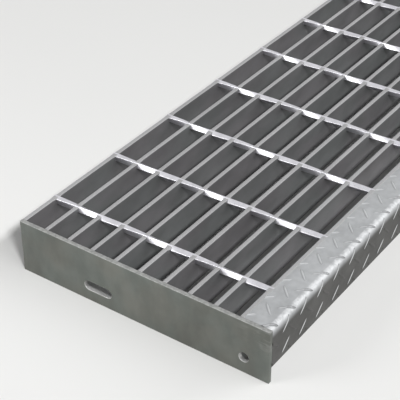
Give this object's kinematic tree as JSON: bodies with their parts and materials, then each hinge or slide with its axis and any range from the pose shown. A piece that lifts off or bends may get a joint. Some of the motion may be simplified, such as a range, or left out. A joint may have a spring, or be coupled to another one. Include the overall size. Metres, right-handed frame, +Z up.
{
  "type": "metal stair tread",
  "caption": "Galvanised steel stair tread of welded bar grating, with twisted cross bars, a bent checker-plate nosing, and end plates that each have a bolt hole and a slot.",
  "frame": {"origin": "middle of the tread, on the plane of the end plates' lower edges", "axes": "+X along the tread, the nosing faces -Y, +Z up from the lower edges to the walking surface"},
  "size_m": [0.9144, 0.3104, 0.0647],
  "materials": {
    "bar_zinc": "hot-dip galvanised, satin grey",
    "twist_zinc": "hot-dip galvanised, bright",
    "plate_zinc": "hot-dip galvanised, dull grey",
    "checker_zinc": "hot-dip galvanised, satin",
    "weld_zinc": "hot-dip galvanised weld"
  },
  "bodies": {
    "root": {"bearing_bar_01": "bar_zinc", "bearing_bar_02": "bar_zinc", "bearing_bar_03": "bar_zinc", "bearing_bar_04": "bar_zinc", "bearing_bar_05": "bar_zinc", "bearing_bar_06": "bar_zinc", "bearing_bar_07": "bar_zinc", "bearing_bar_08": "bar_zinc", "bearing_bar_09": "bar_zinc", "bearing_bar_10": "bar_zinc", "cross_bar_01": "twist_zinc", "cross_bar_02": "twist_zinc", "cross_bar_03": "twist_zinc", "cross_bar_04": "twist_zinc", "cross_bar_05": "twist_zinc", "cross_bar_06": "twist_zinc", "cross_bar_07": "twist_zinc", "cross_bar_08": "twist_zinc", "cross_bar_09": "twist_zinc", "left_end_plate": "plate_zinc", "right_end_plate": "plate_zinc", "nosing": "checker_zinc", "left_end_welds": "weld_zinc", "right_end_welds": "weld_zinc", "nosing_welds": "weld_zinc"}
  },
  "joints": []
}
